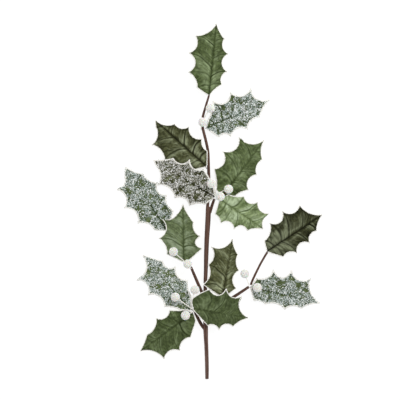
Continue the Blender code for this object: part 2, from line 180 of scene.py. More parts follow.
# ---- stems, as packed but for the points with a comment: (x, y, z, radius) ----
STEMS = {
    "main_stem_lower": [
        (-16.4, -228.5, 2.3, 2.2), (-16.5, -211, 3.2, 2.4), (-16.9, -193, 5.2, 2.6), (-17.7, -174, 7.8, 2.8),
        (-18.1, -155.5, 10.2, 3.0), (-18.4, -127, 12.5, 2.6), (-18.2, -105, 13.2, 2.4),
        (-17.5, -80, 13.5, 2.6),
        (-16.7, -52, 13.5, 3.0), (-15.5, -30, 13.5, 3.3), (-14.8, -13.6, 13.5, 3.4),
        (-14.1, -10.0, 13.6, 3.7), (-13.2, -6.6, 13.7, 4.1)],  # the tape runs on round both stems
    "main_stem_upper": [
        (-15.4, -19.0, 13.5, 1.4),  # inside the thick stem
        (-16.0, -13.0, 13.5, 1.9), (-15.3, -3, 13.5, 1.9), (-14.2, 14, 13.4, 1.9), (-13.9, 30, 13.2, 1.9),
        (-14.4, 45, 13.0, 1.9), (-15.1, 64, 12.6, 1.9), (-18.0, 79, 12.2, 1.85), (-21.7, 95, 11.8, 1.8),
        (-21.6, 108, 11.4, 1.7), (-18.3, 121, 10.8, 1.5), (-14.2, 134.5, 10.4, 1.3),
        (-13.7, 137.4, 10.2, 0.8)],  # the tape runs on under the top leaf's neck
    "branch_lower_left": [
        (-18.9, -165.0, 9.3, 1.5),  # under the main stem's tape
        (-23.3, -158.6, 10.0, 2.0), (-27.2, -151.5, 10.6, 1.9), (-30.0, -145.7, 11.2, 1.75),
        (-32.0, -141.6, 11.8, 1.5)],
    "branch_left": [
        (-19.4, -125.0, 12.4, 1.5),  # under the main stem's tape
        (-22.9, -116.5, 12.6, 1.9), (-27.4, -106.4, 12.7, 1.9), (-32.1, -95.4, 12.7, 1.85),
        (-36.5, -85.1, 12.5, 1.65), (-38.6, -81.0, 12.4, 1.35)],
    "branch_right": [
        (-18.0, -144.8, 11.6, 1.4),  # under the main stem's tape
        (-13.9, -142.4, 11.8, 1.8), (0, -134.0, 11.2, 1.9), (21, -120.6, 10.2, 1.9),
        (37.6, -109.6, 9.6, 1.6)],
    "branch_upper": [
        (-13.6, -17.5, 13.5, 1.5),  # under the main stem's tape
        (-11.9, -13.0, 13.5, 1.6), (-10.4, -7, 13.6, 1.8), (-8.6, -1.5, 13.9, 1.7), (-6.9, 3.4, 14.3, 1.4)],
}
HOLLOW_STEM = "main_stem_lower"
FORK_LENGTH = 9.0           # over which the hollow stem's tape parts for the two stems that leave it
TAPE_WALL = 1.0
STEM_SIDES = 24

# ---- leaf wires, as packed ----
LEAF_WIRE_RADIUS = 0.5
LEAF_WIRE_START = 0.03      # share of the leaf's length where its wire comes in under it
LEAF_WIRE_REACH = 0.5       # and where it ends
LEAF_WIRE_GAP = 0.6
LEAF_WIRE_STEPS = 4
TWIG = "leaf_09_far_right"
TWIG_RADIUS = 1.4

# ---- berries, as packed: (centre, stalk root, the point that the stalk bends over) ----
BERRY_RADIUS = 6.0
STALK_RADIUS = 0.55
BERRIES = [
    ((-12.0, 119.4, 18.5), (-20.3, 104.0, 14.0), (-18.5, 110.5, 17.0)),
    ((-21.8, 101.5, 20.4), (-23.9, 92.0, 13.6), (-24.2, 94.5, 18.0)),
    ((-10.7, 22.8, 27.5), (-4.9, 7.4, 16.4), (-4.6, 13.5, 24.0)),
    ((11.2, 15.8, 21.5), (-4.4, 5.8, 16.4), (0.5, 12.6, 17.6)),
    ((0.5, 6.4, 26.6), (-5.6, 1.6, 16.9), (-6.2, 2.2, 23.5)),
    ((-59.2, -64.4, 21.0), (-41.6, -80.6, 13.2), (-47.5, -74.5, 18.6)),
    ((-40.9, -80.0, 21.0), (-36.9, -85.8, 15.1), (-36.4, -86.6, 17.6)),
    ((-31.7, -113.1, 20.0), (-34.4, -137.0, 13.6), (-36.0, -128.0, 18.6)),
    ((-56.8, -122.4, 21.4), (-34.0, -139.0, 15.6), (-41.0, -133.5, 19.8)),
    ((-43.8, -145.7, 22.4), (-33.6, -141.0, 14.6), (-34.6, -141.6, 19.8)),
    ((32.2, -92.6, 15.0), (37.8, -107.6, 11.6), (35.4, -101.0, 13.4)),
    ((48.2, -110.3, 19.2), (38.2, -110.6, 11.5), (39.2, -110.8, 16.0)),
]
STALK_BITE = 0.4            # how deep a stalk goes into its berry
STALK_STEPS = 8
BEAD_SINK = 0.9             # of a bead's radius, how far the foam ball lies under the berry's surface

# ---- tapes and papers ----
# the length and step of a lap, the depth of creases, the lobes of the wires inside, and how dark the painted
# shade at a lap's edge is
Wrap = namedtuple("Wrap", "pitch step crease lobes shade")
STEM_WRAPS = {"main_stem_lower": Wrap(7.5, 0.05, 0.30, 3, 0.1),
              "main_stem_upper": Wrap(4.0, 0.06, 0.16, 2, 0.2)}
BRANCH_WRAP = Wrap(2.4, 0.14, 0.12, 2, 0.7)
LEAF_WIRE_WRAP = Wrap(2.2, 0.10, 0.10, 0, 0.4)
STALK_WRAP = Wrap(1.1, 0.06, 0.05, 0, 0.5)

# ---- frosted edges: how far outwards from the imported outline, and how far grains stray ----
VELVET_EDGE_SHIFT = 0.3
VELVET_EDGE_SCATTER = 0.45
GLITTER_EDGE_SHIFT = -0.3
GLITTER_EDGE_SCATTER = 1.3
GLITTER_EDGE_SPREAD = 1.6   # times the plain spacing of grains

# ---- pressing ----
VEIN_WANDER = 1.4           # how far a vein strays along the midrib
PANEL_CROWN = 0.75          # the cloth between two veins swells
GROOVE_DEPTH = 0.5
PLEAT_DEPTH = 0.25
RIDGE_HEIGHT = 0.2
CREASE_DEPTH = 0.18
DRAPE_HEIGHT = 0.8
# folds, drape and wrinkles: the pace of each across and along a leaf, and what sets leaves and sides apart
CLOTH_WAVES = ((0.06, 0.17, 0.3, 5.0), (0.05, 0.13, 0.61, 3.0), (0.16, 0.3, 0.9, 7.0))
CRINKLES = ((0.28, 0.11), (0.14, 0.29))  # the height of each, and its pace

# ---- fineness of the finished meshes ----
ROW_SPLIT = 10              # mesh rows for each of the leaf's stations
LEAF_CELLS = 26             # mesh cells from the midrib to one margin
VEIN_BOW = 0.13             # how far a side vein bows towards the tip, as a share of the leaf's half width
VEIN_SLANT = 0.75           # of a distance along the midrib, the part that is square to the slanting veins
NO_VEIN = 99.0              # stands for the distance to a vein where there is none

# ---- stage ----
TABLE_REACH = 2000.0
TABLE_GAP = 0.05            # clear of what lies on it, so that the two never share a plane
VIEW_OFFSET = (-25.3, 1.9)  # of the view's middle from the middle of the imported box


# ---- colours and nodes ----
def linear(hex_colour):
    """An sRGB hex colour as the linear red, green, blue and alpha that Blender works in."""
    def channel(value):
        return value / 12.92 if value <= 0.04045 else ((value + 0.055) / 1.055) ** 2.4
    values = [int(hex_colour[start:start + 2], 16) / 255 for start in (1, 3, 5)]
    return (*[channel(value) for value in values], 1.0)


def grey(value):
    """A neutral colour of one linear value."""
    return (value, value, value, 1.0)


def feed(node, inputs):
    """Give a node's inputs their values; a node there means its first output in use, and a list is joined."""
    for key, given in inputs.items():
        socket = node.inputs[key] if isinstance(key, int) else next(
            plug for plug in node.inputs if plug.enabled and plug.name == key)
        for value in given if isinstance(given, list) else [given]:
            if isinstance(value, bpy.types.Node):
                value = next(plug for plug in value.outputs if plug.enabled)
            if isinstance(value, bpy.types.NodeSocket):
                node.id_data.links.new(value, socket)
            else:
                socket.default_value = value


def add_node(tree, kind, inputs=None, **settings):
    """Add a node with its settings, and feed its inputs."""
    node = tree.nodes.new(kind)
    for name, value in settings.items():
        setattr(node, name, value)
    feed(node, inputs or {})
    return node


def new_material(name, finish):
    """A material, what adds its nodes, its shader, and the Object coordinates that its patterns lie on."""
    material = bpy.data.materials.new(name)
    material.use_nodes = True
    add = partial(add_node, material.node_tree)
    shader = material.node_tree.nodes["Principled BSDF"]
    feed(shader, finish)
    return material, add, shader, add("ShaderNodeTexCoord").outputs["Object"]


def speckle(add, place, size, detail, low, high):
    """Noise with features of a size in millimetres, stretched to run from 0 at low to 1 at high."""
    cloud = add("ShaderNodeTexNoise", {"Vector": place, "Scale": 1.0 / (size * MM), "Detail": detail})
    return add("ShaderNodeMapRange", {"Value": cloud, "From Min": low, "From Max": high},
               interpolation_type="SMOOTHSTEP")


def layered(add, colour, *layers):
    """Colours laid over a first one; each layer is (how far it covers, its colour)."""
    for cover, tint in layers:
        colour = add("ShaderNodeMix", {"Factor": cover, "A": colour, "B": tint}, data_type="RGBA")
    return colour


# ---- materials ----
def velvet(name, pile, groove, crest):
    """Cotton velvet, dyed and hot pressed: a soft nap, dark along the veins as crushed pile and painted
    shade, with painted highlight and painted shade beside them.
    """
    material, add, shader, place = new_material(name, {
        "Roughness": 0.95, "Specular IOR Level": 0.06, "Sheen Weight": 0.04, "Sheen Roughness": 0.5})
    cloth = add("ShaderNodeAttribute", attribute_name="cloth").outputs["Vector"]
    drawn = add("ShaderNodeMapping", {"Vector": cloth, "Scale": (0.22, 1.0, 1.0)})
    streak = speckle(add, drawn, 1.9, 3.0, 0.32, 0.68)
    mottle = speckle(add, place, 3.2, 4.0, 0.34, 0.66)
    deep, pale = [(*[share * part for part in pile[:3]], 1.0) for share in (0.74, 1.24)]
    vein, shoulder, tone = [add("ShaderNodeAttribute", attribute_name=label).outputs["Fac"]
                            for label in ("vein", "crest", "tone")]
    # a painted highlight where the crest attribute is above zero, painted shade where it is below
    light, shadow = [add("ShaderNodeMapRange", {"Value": shoulder, "From Min": 0.0, "From Max": end})
                     for end in (1.0, -1.0)]
    broken = add("ShaderNodeMapRange", {"Value": streak, "To Min": 0.55, "To Max": 1.15})
    painted_highlight = add("ShaderNodeMath", {0: light, 1: broken}, operation="MULTIPLY", use_clamp=True)
    # painted shade in the groove colour, the painted highlight, then the veins' dark, partly crushed pile and
    # partly painted shade
    dyed = layered(add, deep, (mottle, pale), (shadow, groove), (painted_highlight, crest), (vein, groove))
    nap = layered(add, grey(0.38), (streak, grey(0.64)))
    brushed = add("ShaderNodeMix", {"Factor": 0.6, "A": dyed, "B": nap}, data_type="RGBA",
                  blend_type="OVERLAY")
    toned = add("ShaderNodeVectorMath", {"Vector": brushed, "Scale": tone}, operation="SCALE")
    fibre = speckle(add, place, 0.8, 4.0, 0.25, 0.75)
    bump = add("ShaderNodeBump", {"Height": fibre, "Distance": 0.3 * MM, "Strength": 0.6})
    feed(shader, {"Base Color": toned, "Normal": bump})
    return material


def felt_backing():
    """Thin needled felt glued behind the velvet: paler and duller than the pile, with a fibre mottle."""
    material, add, shader, place = new_material("felt_backing", {
        "Roughness": 0.95, "Specular IOR Level": 0.1})
    fibre = speckle(add, place, 1.2, 5.0, 0.3, 0.7)
    bump = add("ShaderNodeBump", {"Height": fibre, "Distance": 0.2 * MM, "Strength": 0.6})
    feed(shader, {"Base Color": layered(add, linear("#66705a"), (fibre, linear("#8b937c"))), "Normal": bump})
    return material


def frost_flock():
    """White nylon flock on glue: a dry, chalky crust that catches light on every lump."""
    material, add, shader, place = new_material("frost_flock", {"Roughness": 0.8, "Specular IOR Level": 0.3})
    clump = speckle(add, place, 1.4, 3.0, 0.3, 0.7)
    lump = speckle(add, place, 0.35, 2.0, 0.2, 0.8)
    bump = add("ShaderNodeBump", {"Height": lump, "Distance": 0.12 * MM, "Strength": 0.5})
    feed(shader, {"Base Color": layered(add, linear("#e4e1d7"), (clump, linear("#fffefa"))), "Normal": bump})
    return material


def glass_glitter(name, glint_greys):
    """Crushed silvered glass: each grain a grey up to white at random, a painted reflection for its glints
    and dark facets, with real highlights on its facets too.
    """
    material, add, shader, place = new_material(name, {"Roughness": 0.3, "Specular IOR Level": 0.6})
    number = add("ShaderNodeAttribute", attribute_name="grain").outputs["Fac"]
    # each grain's grey is a painted reflection: dark greys for dark facets, white for glints
    shade = add("ShaderNodeValToRGB", {"Fac": number})
    ramp = shade.color_ramp
    ramp.interpolation = "CONSTANT"
    while len(ramp.elements) < len(glint_greys):
        ramp.elements.new(1.0)
    for element, position, colour in zip(ramp.elements, GRAIN_SHARES, glint_greys):
        element.position = position
        element.color = linear(colour)
    clouds = layered(add, (0.62, 0.64, 0.63, 1.0), (speckle(add, place, 5.0, 2.0, 0.36, 0.64), grey(1.0)))
    clouded = add("ShaderNodeMix", {"Factor": 0.5, "A": shade, "B": clouds}, data_type="RGBA",
                  blend_type="MULTIPLY")
    feed(shader, {"Base Color": clouded})
    return material


def glass_for_dyes(prefix):
    """The glass glitter that lies over each dye."""
    return {dye: glass_glitter(prefix + cast, glint_greys) for dye, (cast, glint_greys) in GLASSES.items()}


def pearl_beads():
    """Moulded styrene beads: milky white with a soft gloss, and painted shade, a warm grey, on the foam ball
    between them.
    """
    material, add, shader, place = new_material("milky_styrene_beads", {
        "Roughness": 0.38, "Specular IOR Level": 0.45, "Subsurface Weight": 0.15,
        "Subsurface Scale": 0.8 * MM})
    tint = speckle(add, place, 2.2, 3.0, 0.32, 0.68)
    # the foam ball between the beads takes a darker warm grey: painted shade
    hollow = add("ShaderNodeAttribute", attribute_name="hollow").outputs["Fac"]
    white = layered(add, linear("#fbf9f4"), (tint, linear("#ffffff")), (hollow, linear("#dad6c9")))
    feed(shader, {"Base Color": white})
    return material


def stalk_paper():
    """Cream paper spun round a thin wire: matt, with a faint twist."""
    material, add, shader, place = new_material("cream_spun_paper", {
        "Roughness": 0.75, "Specular IOR Level": 0.25})
    # painted shade along the laps and creases of the paper
    fold = add("ShaderNodeAttribute", attribute_name="wrap").outputs["Fac"]
    fibre = speckle(add, place, 0.8, 4.0, 0.3, 0.7)
    body = layered(add, linear("#f7f4eb"), (fibre, linear("#fffefa")), (fold, linear("#e6e1d4")))
    bump = add("ShaderNodeBump", {"Height": fibre, "Distance": 0.06 * MM, "Strength": 0.5})
    feed(shader, {"Base Color": body, "Normal": bump})
    return material


def stem_tape(name, light, middle, dark):
    """Brown crepe floral tape, stretched and wound: lengthwise lines, painted shade along the laps, creases
    and between the wires, and dustier towards the cut end.
    """
    material, add, shader, place = new_material(name, {"Roughness": 0.75, "Specular IOR Level": 0.2})
    lay = add("ShaderNodeAttribute", attribute_name="lay").outputs["Vector"]
    stretched = add("ShaderNodeMapping", {"Vector": lay, "Scale": (1.0, 1.0, 0.05)})
    lines = speckle(add, stretched, 1.1, 3.0, 0.34, 0.66)
    crinkle = speckle(add, place, 0.9, 5.0, 0.3, 0.7)
    along = add("ShaderNodeSeparateXYZ", {"Vector": place}).outputs["Y"]
    dust = add("ShaderNodeMapRange", {
        "Value": along, "From Min": -90.0 * MM, "From Max": -200.0 * MM, "To Min": 0.25})
    body = layered(add, middle, (dust, light))
    lined = layered(add, layered(add, body, (0.55, dark)), (lines, body))
    # the wrap attribute: painted shade along the laps' edges, in the creases and between the wires inside
    lap = add("ShaderNodeAttribute", attribute_name="wrap").outputs["Fac"]
    lapped = layered(add, lined, (lap, dark))
    grain = layered(add, grey(0.38), (crinkle, grey(0.7)))
    rough = add("ShaderNodeMix", {"Factor": 0.35, "A": lapped, "B": grain}, data_type="RGBA",
                blend_type="OVERLAY")
    bump = add("ShaderNodeBump", {"Height": crinkle, "Distance": 0.12 * MM, "Strength": 0.5})
    feed(shader, {"Base Color": rough, "Normal": bump})
    return material


def core_steel():
    """Annealed steel wire: dull grey drawn metal with dark drawing lines and a little rust at the cut."""
    material, add, shader, place = new_material("annealed_steel_wire", {"Roughness": 0.45, "Metallic": 1.0})
    lines = add("ShaderNodeMapping", {"Vector": place, "Scale": (1.0, 0.06, 1.0)})
    drawn = speckle(add, lines, 0.4, 3.0, 0.3, 0.7)
    rust = speckle(add, place, 2.5, 4.0, 0.55, 0.75)
    metal = layered(add, linear("#5c5b5a"), (drawn, linear("#8d8c8a")), (rust, linear("#6b4a36")))
    bump = add("ShaderNodeBump", {"Height": drawn, "Distance": 0.03 * MM, "Strength": 0.4})
    feed(shader, {"Base Color": metal, "Normal": bump})
    return material


def light_table(glow):
    """Opal acrylic of a light table: matt white, lit from below, so that it holds only faint shadows."""
    material, add, shader, place = new_material("opal_acrylic_light_table", {
        "Roughness": 0.9, "Specular IOR Level": 0.1, "Emission Color": grey(1.0), "Emission Strength": glow})
    cloud = speckle(add, place, 30.0, 2.0, 0.3, 0.7)
    feed(shader, {"Base Color": layered(add, linear("#767676"), (cloud, linear("#797979")))})
    return material


# ---- pieces: common steps ----
def make_mesh(name, places, edges=(), faces=(), numbers=None, vectors=None):
    """A mesh of points in millimetres, with what its material reads on each of them."""
    mesh = bpy.data.meshes.new(name)
    mesh.from_pydata([place * MM for place in places], edges, faces)
    mesh.shade_smooth()
    for kind, key, layers in (("FLOAT", "value", numbers), ("FLOAT_VECTOR", "vector", vectors)):
        for label, values in (layers or {}).items():
            mesh.attributes.new(label, kind, "POINT").data.foreach_set(key, values)
    return mesh


def add_piece(name, mesh, material=None):
    """Put a finished mesh, whose points already stand in the frame, into the scene as a piece."""
    obj = bpy.data.objects.new(name, mesh)
    bpy.context.scene.collection.objects.link(obj)
    if material is not None:
        mesh.materials.append(material)
    return obj


def mount(piece, nodes=()):
    """Tie a piece to the frame: the body that it rides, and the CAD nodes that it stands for."""
    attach(piece, BODY)
    if nodes:
        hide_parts(*nodes)


def grown(name, mesh, tree, values):
    """A piece made by a node tree from a scratch mesh, as a plain mesh; the scratch is removed."""
    source = add_piece(mesh.name, mesh)
    modifier = source.modifiers.new(tree.name, "NODES")
    modifier.node_group = tree
    for item in tree.interface.items_tree:
        if item.in_out == "INPUT" and item.name in values:
            modifier[item.identifier] = values[item.name]
    graph = bpy.context.evaluated_depsgraph_get()
    result = bpy.data.meshes.new_from_object(source.evaluated_get(graph), preserve_all_data_layers=True,
                                             depsgraph=graph)
    bpy.data.objects.remove(source)
    bpy.data.meshes.remove(mesh)
    result.name = name
    return add_piece(name, result)


def new_tree(name, inputs):
    """An empty Geometry Nodes tree with named inputs, what adds its nodes, and its inputs' sockets."""
    tree = bpy.data.node_groups.new(name, "GeometryNodeTree")
    for flow in ("INPUT", "OUTPUT"):
        tree.interface.new_socket("Geometry", in_out=flow, socket_type="NodeSocketGeometry")
    for label, kind in inputs.items():
        tree.interface.new_socket(label, in_out="INPUT", socket_type="NodeSocket" + kind)
    add = partial(add_node, tree)
    return tree, add, add("NodeGroupInput").outputs


# ---- leaf surface ----
def length_of(leaf):
    """A leaf's length, from its neck to the end of its terminal spine."""
    return float(leaf.left[-1][0])


def wire_of(leaf):
    """The name of the CAD node that is a leaf's wire."""
    return leaf.name.replace("leaf", "leaf_wire")


def spine_stations(spines, length):
    """Where each spine's vein leaves the midrib, as a share of its length."""
    stations = []
    for index, (along, out, _) in enumerate(spines):
        row = round(LEAF_ROWS * (along - VEIN_LEAD * out) / length)
        lowest = (stations[-1] if stations else 0) + 2
        highest = LEAF_ROWS - 2 * (len(spines) - 1 - index)
        stations.append(min(max(row, lowest), highest))
    return [row / LEAF_ROWS for row in stations]


def margin(spines, stations, share):
    """The point of one margin that belongs to a station of the midrib, as (along, out)."""
    start_station = 0.0
    start = Vector((0.0, LEAF_BASE_HALF_WIDTH))
    for (along, out, scoop), station in zip(spines, stations):
        end = Vector((along, max(out, LEAF_TIP_HALF_WIDTH)))
        if share <= station + 1e-9:
            t = (share - start_station) / (station - start_station)
            chord = end - start
            inward = Vector((chord.y, -chord.x))
            depth = scoop * max(4.0 * t * (1.0 - t), 0.0) ** SCOOP_POWER
            return start + chord * t + inward * depth
        start_station = station
        start = end
    return start


def leaf_height(leaf, along, out):
    """Height of a leaf's middle surface as packed; out is positive on the left side."""
    base, tip, rise, slope = leaf.heights
    share = along / length_of(leaf)
    return base + (tip - base) * share + rise * 4.0 * share * (1.0 - share) + slope * out


def in_frame(leaf, along, out, height):
    """A leaf's own (along, out, height) as a place in the frame, still in millimetres."""
    turn = math.radians(leaf.heading)
    x = leaf.base[0] + along * math.cos(turn) - out * math.sin(turn)
    y = leaf.base[1] + along * math.sin(turn) + out * math.cos(turn)
    return Vector((x, y, height))


def eased(value, low, high):
    """0 below low, 1 above high, and a smooth rise between them."""
    t = min(max((value - low) / (high - low), 0.0), 1.0)
    return t * t * (3.0 - 2.0 * t)


def bell(distance, width):
    """1 at no distance, fading to nothing past about twice the width."""
    return math.exp(-(distance / width) ** 2)


def panel_of(stations, share):
    """The side veins before and after a station, and how far it lies between them."""
    before = 0.0
    for station in stations:
        if share <= station:
            return before, station, (share - before) / (station - before)
        before = station
    return before, 1.0, 1.0


def boldness(leaf, station, side):
    """How hard the mould bit along one side vein; no two veins are alike."""
    return 0.85 + 0.8 * noise.noise(Vector((9.3 * station, 0.37 * leaf.heading, 4.6 * side)))


def pressed(leaf, stations, share, across, side, half_width, spot):
    """What the mould did at one point: (height in mm, how dark as a vein, partly painted shade, and the
    painted light or shade beside one).
    """
    length = length_of(leaf)
    wander = VEIN_WANDER * noise.noise(spot * 0.085) * (1.0 - across ** 4)
    share = min(max(share + wander / length, 0.0), 1.0)
    before, after, t = panel_of(stations, share)
    square = VEIN_SLANT * length
    behind = (share - before) * square if before > 0.0 else NO_VEIN
    ahead = (after - share) * square if after < 1.0 else NO_VEIN
    open_panel = (after - before) * square
    bold_behind = boldness(leaf, before, side)
    bold_ahead = boldness(leaf, after, side)
    uneven = 0.5 + 0.5 * noise.noise(spot * 0.13 + Vector((0, 0, 7.0)))

    # side veins, midrib, the pleats between them and the creases of the cloth, each from 0 to 1
    width = (0.55 + 0.35 * leaf.press) * (1.0 - 0.45 * across)
    groove = max(bell(behind, width) * bold_behind, bell(ahead, width) * bold_ahead) * (0.65 + 0.5 * uneven)
    out = across * half_width
    rib_width = (0.55 + 0.5 * leaf.press) * (0.5 + 0.7 * (1.0 - share))
    midrib = bell(out, rib_width)
    midrib *= 1.0 - min(max(1.3 - leaf.press, 0.0), 0.8) * eased(share, 0.25, 0.6)
    pleat = 0.0
    if before > 0.0:
        pleat = bell((t - 0.34 * across ** 1.3) * open_panel, 0.6) * eased(across, 0.35, 0.7) * bold_behind
    fold, drape, wrinkle = [
        noise.noise(Vector((wide * out, long * share * length, turn * leaf.heading + apart * side)))
        for wide, long, turn, apart in CLOTH_WAVES]
    crease = max(bell(fold, 0.045), 0.8 * bell(wrinkle, 0.07))
    ridge = max(bell(fold - 0.10, 0.06), 0.7 * bell(wrinkle - 0.16, 0.08))
    # how dark the pile is drawn: partly crushed pile along the veins, partly painted shade in the grooves,
    # pleats and creases
    vein = max(groove, midrib, 0.8 * pleat, 0.4 * crease) * min(0.35 + 0.65 * leaf.press, 1.0)

    # the relief
    inner = eased(out, 0.0, 4.0)
    crown = math.sin(math.pi * t ** 1.5) * min(open_panel / 12.0, 1.0)
    height = leaf.press * (PANEL_CROWN * crown * inner * (1.0 - 0.45 * across ** 3)
                           - GROOVE_DEPTH * max(groove, midrib) - PLEAT_DEPTH * pleat)
    height += RIDGE_HEIGHT * ridge - CREASE_DEPTH * crease + DRAPE_HEIGHT * leaf.ruffle * drape
    height += leaf.ruffle * across ** 3 * math.sin(1.7 * math.pi * t + leaf.heading)

    # painted highlight ahead of each vein and in a thin line behind it, painted highlight and shade beside
    # the midrib
    lit = bell(ahead, 2.0 + 2.6 * uneven) * (1.0 - bell(ahead, 1.3 * width)) * bold_ahead
    lit *= inner * (1.0 - 0.5 * across ** 2)
    lip = bell(behind - 2.0 * width, 0.7) * bold_behind * (1.0 - across ** 3)
    fade = leaf.fade * (1.0 - eased(share, 0.12, 0.62)) * (0.5 + uneven) * (1.0 - 0.4 * across)
    patch = drape + 0.6 * noise.noise(spot * 0.06 + Vector((11.0, 0, 0)))
    valley = bell(out, 3.0 * rib_width)
    strip = bell(out - 3.6 * rib_width, 1.1) * (0.4 + 0.6 * uneven)
    crest = min(0.25 + 0.75 * leaf.press, 1.0) * (1.1 * lit + 0.6 * lip + 0.5 * strip - 0.4 * valley)
    # painted highlight on the ridges and painted light and shade over the drape; fade is the pile's own
    # paleness towards the neck
    crest += 0.45 * ridge + (0.2 + 0.7 * leaf.ruffle) * patch + fade
    # random darker pile, and painted shade towards the margins
    crest -= 0.2 * (1.0 - uneven) + 0.4 * leaf.press * eased(across, 0.35, 1.0)
    return height, min(vein, 1.0), min(max(crest, -1.0), 1.0)


def leaf_point(leaf, stations, share, across):
    """One point of the finished leaf, with its vein value, its painted light and shade, and its place on the
    cloth.
    """
    spines = leaf.left if across >= 0 else leaf.right
    part = abs(across)
    edge = margin(spines, stations, share)
    half_width = edge.y
    root = Vector((length_of(leaf) * share, 0.0))
    flat = root.lerp(edge, part)
    flat.x += VEIN_BOW * half_width * 4.0 * part * (1.0 - part)
    out = math.copysign(flat.y, across)
    spot = in_frame(leaf, flat.x, out, 0.0)
    side = math.copysign(1.0, across)
    relief, vein, crest = pressed(leaf, stations, share, part, side, half_width, spot)
    crinkle = sum(size * noise.noise(spot * pace) for size, pace in CRINKLES)
    height = leaf_height(leaf, flat.x, out) + relief + crinkle
    spot.z = max(height, 0.5 * LEAF_THICKNESS)
    return spot, vein, crest, (flat.y * MM, share * length_of(leaf) * MM, side)


def grid_faces(rows, columns, closed=False):
    """Four-sided faces over rows of points, with the last column joined to the first where it is closed."""
    return [(row * columns + column, row * columns + (column + 1) % columns,
             (row + 1) * columns + (column + 1) % columns, (row + 1) * columns + column)
            for row in range(rows - 1) for column in range(columns if closed else columns - 1)]


def bareness(leaf, place):
    """How bare of glitter a leaf is at a place in the frame, from 0 to 1."""
    turn = Matrix.Rotation(-math.radians(leaf.heading), 2)
    own = turn @ (place.xy - Vector(leaf.base))
    ragged = 1.0 + 0.6 * noise.noise(place * 0.3)
    nearest = max(bell((own - Vector((along, out))).length * ragged, radius)
                  for along, out, radius in leaf.bare)
    return 0.93 * eased(nearest, 0.2, 0.65)


def leaf_mesh(leaf, glittered=False):
    """The leaf's upper surface as a grid, with what its material or its glitter reads on every point."""
    length = length_of(leaf)
    stations = {1: spine_stations(leaf.left, length), -1: spine_stations(leaf.right, length)}
    rows = LEAF_ROWS * ROW_SPLIT
    points = [leaf_point(leaf, stations[1 if cell >= 0 else -1], row / rows, cell / LEAF_CELLS)
              for row in range(rows + 1) for cell in range(-LEAF_CELLS, LEAF_CELLS + 1)]
    places, veins, painted_lights, cloths = zip(*points)
    numbers = {"vein": veins, "crest": painted_lights, "tone": [leaf.tone] * len(places)}
    if glittered:
        numbers["bare"] = [bareness(leaf, place) for place in places]
    faces = [(face[0], *face[:0:-1]) for face in grid_faces(rows + 1, 2 * LEAF_CELLS + 1)]  # facing up
    vectors = {"cloth": [part for cloth in cloths for part in cloth]}
    return make_mesh(leaf.name, places, [], faces, numbers, vectors)


def leaf_outline(leaf, steps=4, shift=0.0):
    """The leaf's edge from its neck round the tip and back, shifted outwards by some millimetres in plan."""
    length = length_of(leaf)
    rows = LEAF_ROWS * ROW_SPLIT * steps
    left = spine_stations(leaf.left, length)
    right = spine_stations(leaf.right, length)
    line = [leaf_point(leaf, left, row / rows, 1.0)[0] for row in range(rows + 1)]
    line += [leaf_point(leaf, right, row / rows, -1.0)[0] for row in range(rows, -1, -1)]
    shifted = []
    for index, place in enumerate(line):
        ahead = line[min(index + 2, len(line) - 1)] - line[max(index - 2, 0)]
        shifted.append(place + Vector((-ahead.y, ahead.x, 0.0)).normalized() * shift)
    return shifted


def cut_area(leaf):
    """The area of a leaf's flat cut in square metres, by its outline in plan."""
    line = leaf_outline(leaf, 1)
    total = sum(a.x * b.y - b.x * a.y for a, b in zip(line, line[1:] + line[:1]))
    return abs(total) / 2 * MM * MM


# ---- tubes ----
def smooth_path(points, spacing):
    """A Catmull-Rom curve through points of (x, y, z, radius), read at an even spacing in millimetres."""
    padded = [points[0], *points, points[-1]]
    fine = []
    for before, start, end, after in zip(padded, padded[1:], padded[2:], padded[3:]):
        gap = math.dist(start[:3], end[:3])
        steps = max(1, round(gap / spacing))
        for step in range(steps):
            t = step / steps
            fine.append([
                0.5 * (2 * s + (e - b) * t + (2 * b - 5 * s + 4 * e - a) * t ** 2
                       + (3 * s - b - 3 * e + a) * t ** 3)
                for b, s, e, a in zip(before, start, end, after)])
    fine.append(list(points[-1]))
    return fine


def rings_along(path):
    """For each point of a path: its centre, two directions square to it, its radius and its distance."""
    centres = [Vector(point[:3]) for point in path]
    side = None
    distance = 0.0
    rings = []
    for index, centre in enumerate(centres):
        ahead = centres[min(index + 1, len(centres) - 1)]
        behind = centres[max(index - 1, 0)]
        heading = (ahead - behind).normalized()
        if side is None:
            side = heading.cross(Vector((0, 0, 1))).normalized()
        side = (side - heading * side.dot(heading)).normalized()
        if index:
            distance += (centre - centres[index - 1]).length
        rings.append((centre, side, heading.cross(side), path[index][3], distance))
    return rings


